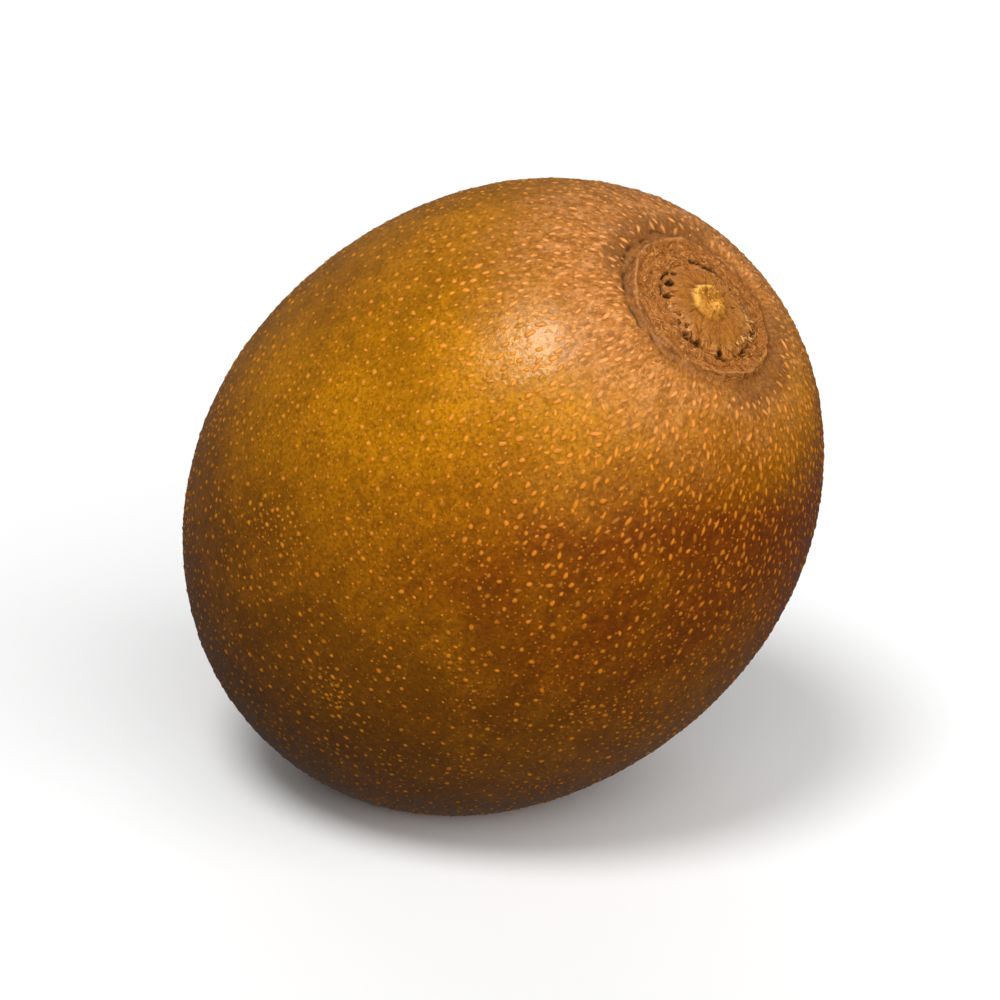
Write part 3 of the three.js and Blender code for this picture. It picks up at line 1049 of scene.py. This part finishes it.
def stem_end_colour(tree, place, colour):
    """Lays the colours of the dried stem end, and of the dried flower, over the skin's."""
    crumbs = mottles(tree, place, CRUMBS)
    # Painted shade in the groove round the ring, together with dark russet skin, darkens the skin and the
    # band there.
    groove_russet_and_shade = times(tree, zone(tree, "groove_russet_and_shade"), times_plus(tree, crumbs, 0.25, 0.72))
    colour = mix(tree, groove_russet_and_shade, colour, DARK_RUSSET)
    annulus = cover(
        tree, ANNULUS,
        (streaks(tree, place, HOOPS), 0.7, BARK),
        (crumbs, 0.6, BARK),
        (mottles(tree, place, LIGHT_BITS), 0.7, PALE_FIBRE),
        (groove_russet_and_shade, 0.5, BARK),
    )
    colour = mix(tree, zone(tree, "annulus"), colour, annulus)
    plate = cover(tree, PLATE, (streaks(tree, place, RAYS), 0.4, BARK), (crumbs, 0.35, BARK))
    colour = mix(tree, zone(tree, "plate"), colour, plate)
    colour = cover(tree, colour, (zone(tree, "ridge"), 0.5, RIDGE))
    scar = cover(tree, SCAR, (mottles(tree, place, SCAR_FIBRES), 0.6, BARK))
    scar = mix(tree, zone(tree, "pale"), scar, PALE_SCAR)
    colour = mix(tree, zone(tree, "scar"), colour, scar)
    # Painted shade in the cracks, crease, pits and hollows.
    colour = mix(tree, zone(tree, "crack"), colour, CRACK_SHADE)
    return mix(tree, zone(tree, "tuft"), colour, TUFT)


def skin_roughness(tree, place):
    """Satin skin, dry on the stem end and a little duller under the russet."""
    satin = times_plus(tree, mottles(tree, place, SHEEN), 0.09, 0.21)
    calyx = math_node(tree, "ADD", zone(tree, "plate"), zone(tree, "annulus"), clamp=True)
    ring = math_node(tree, "ADD", zone(tree, "groove_russet_and_shade"), zone(tree, "ridge"))
    dry = math_node(tree, "MAXIMUM", calyx, ring)
    dry = math_node(tree, "MAXIMUM", dry, times(tree, zone(tree, "veil"), 0.12))
    return math_node(tree, "ADD", satin, times(tree, dry, 0.4), clamp=True)


def skin_material():
    material, tree, place = new_material("kiwi_skin")
    colour = stem_end_colour(tree, place, skin_colour(tree, place))
    bump = skin_bump(tree, place, 0.4)
    add_shader(tree, colour, skin_roughness(tree, place), 0.64, {"Normal": bump})
    return material


def lenticel_material():
    """Cork in the middle, a darker rim and the skin's own colour at the edge."""
    material, tree, place = new_material("kiwi_lenticel")
    middle = zone(tree, "cork")
    skin = skin_colour(tree, place)
    # On the low side the cork darkens, partly as painted shade.
    cork = mix(tree, zone(tree, "brown"), CORK, LOW_CORK_AND_SHADE)
    cork = mix(tree, zone(tree, "veil"), cork, PALE_CORK)
    cork = cover(tree, cork, (mottles(tree, place, PORES), 0.5, RUSSET))
    colour = mix(tree, ramp(tree, middle, 0.0, 0.3), skin, mix(tree, 0.3, skin, UMBER))
    strength = times_plus(tree, zone(tree, "tone"), 0.8, 0.36)
    colour = cover(tree, colour, (ramp(tree, middle, 0.05, 1.0), strength, cork))
    add_shader(tree, colour, 0.42, 0.5, {"Normal": skin_bump(tree, place, 0.25)})
    return material


def strand_material(name, dark, middle, pale):
    """Dry plant fibre: each strand has a tone of its own between dark and pale."""
    material, tree, place = new_material(name)
    tone = zone(tree, "tone")
    colour = mix(tree, ramp(tree, tone, 0.0, 0.5), dark, middle)
    colour = mix(tree, ramp(tree, tone, 0.5, 1.0), colour, pale)
    colour = cover(tree, colour, (mottles(tree, place, STRAND_CRUMBS), 0.5, dark))
    add_shader(tree, colour, 0.7, 0.3)
    return material


def stage_material(name, feature, dull, pale, roughness, gloss, others=None):
    """Pale paint with a faint haze, this many millimetres across, between two greys."""
    material, tree, place = new_material(name)
    haze = mix(tree, noise_at(tree, place, feature, 2, 0.5), (dull,) * 3, (pale,) * 3)
    add_shader(tree, haze, roughness, gloss, others, WHITE)
    return material


# ---- stage, light and camera

FLOOR_HALF = 6  # metres
COVE_START = 2.2  # metres from the fruit
COVE_HEIGHT = 0.9
COVE_SEGMENTS = 72
COVE_ROWS = 13
COVE_GLOW = 0.3  # keeps it pale where no light reaches

WORLD_STRENGTH = 0.07
# Lights: azimuth from -Y and elevation in degrees, strength, spread in degrees, seen in gloss
LIGHTS = {
    "overhead_softbox": (4, 65, 1.75, 22, True),
    "front_fill": (64, 28, 2.8, 80, False),
    "back_fill": (215, 14, 1.3, 80, False),
}

# The photograph's viewpoint and lens, with the picture closed in on a window round the fruit
CAMERA_AZIMUTH = 33.1
CAMERA_ELEVATION = 23.1
CAMERA_DISTANCE = 600.3
PHOTO_LENS = 105.5
SENSOR = 36
PHOTO_SIDE = 1000
WINDOW_SIDE = 450


def stage_mesh(name, points, faces, material):
    """A mesh in metres that throws no light back on the fruit."""
    made = new_mesh(name, points, faces, material)
    made.visible_diffuse = False
    made.visible_glossy = False
    return made


def add_floor():
    corners = [(x * FLOOR_HALF, y * FLOOR_HALF, 0) for x, y in ((-1, -1), (1, -1), (1, 1), (-1, 1))]
    material = stage_material("pale_floor", 400, 0.96, 0.98, 0.7, 0.2)
    floor = stage_mesh("floor", corners, [(0, 1, 2, 3)], material)


def add_backdrop():
    """A pale cove far behind the fruit on every side, seen only by a low camera."""
    turns = np.linspace(0, 2 * pi, COVE_SEGMENTS, endpoint=False)
    points = []
    for climb in np.linspace(0, pi / 2, COVE_ROWS):
        radius = COVE_START + COVE_HEIGHT * sin(climb)
        height = COVE_HEIGHT * (1 - cos(climb))
        points += [(radius * cos(turn), radius * sin(turn), height) for turn in turns]
    glow = {"Emission Color": WHITE, "Emission Strength": COVE_GLOW}
    material = stage_material("pale_cove", 900, 0.90, 0.93, 0.8, 0.1, glow)
    faces = ring_faces(0, COVE_SEGMENTS, COVE_ROWS)
    backdrop = stage_mesh("backdrop", points, faces, material)
    backdrop.visible_shadow = False


def direction(*degrees):
    """Towards a light or the camera: azimuth from -Y and elevation above the floor."""
    azimuth, elevation = (radians(turn) for turn in degrees)
    flat = cos(elevation)
    return Vector((sin(azimuth) * flat, -cos(azimuth) * flat, sin(elevation)))


def add_lights():
    """Soft lights from far away, and a faint even light from all round."""
    for name, (azimuth, elevation, strength, spread, in_gloss) in LIGHTS.items():
        light = bpy.data.lights.new(name, "SUN")
        light.energy = strength
        light.angle = radians(spread)
        lamp = bpy.data.objects.new(name, light)
        lamp.rotation_euler = direction(azimuth, elevation).to_track_quat("Z", "Y").to_euler()
        lamp.visible_glossy = in_gloss
        bpy.context.scene.collection.objects.link(lamp)

    world = bpy.data.worlds.new("studio")
    world.use_nodes = True
    background = world.node_tree.nodes["Background"]
    background.inputs["Color"].default_value = WHITE
    background.inputs["Strength"].default_value = WORLD_STRENGTH
    bpy.context.scene.world = world


def add_camera():
    camera = bpy.data.cameras.new("camera")
    camera.sensor_width = SENSOR
    camera.lens = PHOTO_LENS * PHOTO_SIDE / WINDOW_SIDE
    camera.clip_start = 0.05
    camera.clip_end = 30
    viewer = bpy.data.objects.new("camera", camera)
    towards = direction(CAMERA_AZIMUTH, CAMERA_ELEVATION)
    viewer.location = Vector((0, 0, MIDDLE_HEIGHT * MM)) + towards * CAMERA_DISTANCE * MM
    viewer.rotation_euler = towards.to_track_quat("Z", "Y").to_euler()
    bpy.context.scene.collection.objects.link(viewer)
    bpy.context.scene.camera = viewer


add_camera()
add_lights()
add_floor()
add_backdrop()

skin = make_skin(skin_material())
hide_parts("fruit")
make_lenticels(lenticel_material())
make_calyx_fibres(strand_material("calyx_fibre", BARK, ANNULUS, PALE_FIBRE))
make_calyx_flakes(strand_material("calyx_flake", BARK, PLATE, PALE_FIBRE))
make_stalk_splinters(strand_material("stalk_fibre", DARK_STALK, SCAR, PALE_SCAR))
make_blossom_tuft(strand_material("dried_flower", DARK_TUFT, TUFT, PALE_TUFT))

bpy.context.scene.view_settings.view_transform = "Standard"
